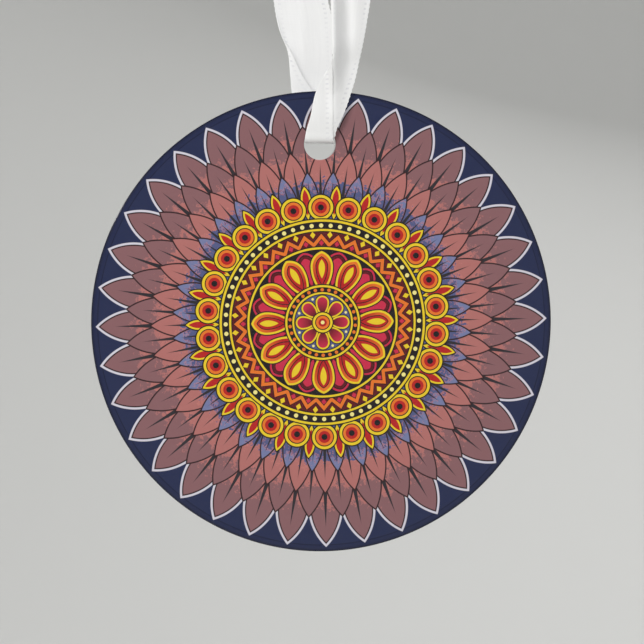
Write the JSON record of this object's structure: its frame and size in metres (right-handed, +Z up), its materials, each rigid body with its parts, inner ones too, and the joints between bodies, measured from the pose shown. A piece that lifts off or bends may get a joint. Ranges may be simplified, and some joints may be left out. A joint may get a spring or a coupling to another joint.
{
  "type": "round hanging ornament",
  "caption": "Thin round clear-acrylic hanging ornament with a full-face print and a white satin ribbon loop threaded through a hole near its rim.",
  "frame": {"origin": "under the knot, where the ribbon's loop hangs on a hook, branch or peg", "axes": "+Z up, printed face towards -Y, +X to the viewer's right as the printed face is seen"},
  "size_m": [0.073, 0.0113, 0.1299],
  "materials": {
    "printed_acrylic": "clear polished acrylic with a glossy full-face print in navy, rose, red, orange and yellow",
    "white_satin": "white satin ribbon with stitched selvedges"
  },
  "bodies": {
    "root": {"acrylic_disc": "printed_acrylic", "ribbon": "white_satin"}
  },
  "joints": []
}
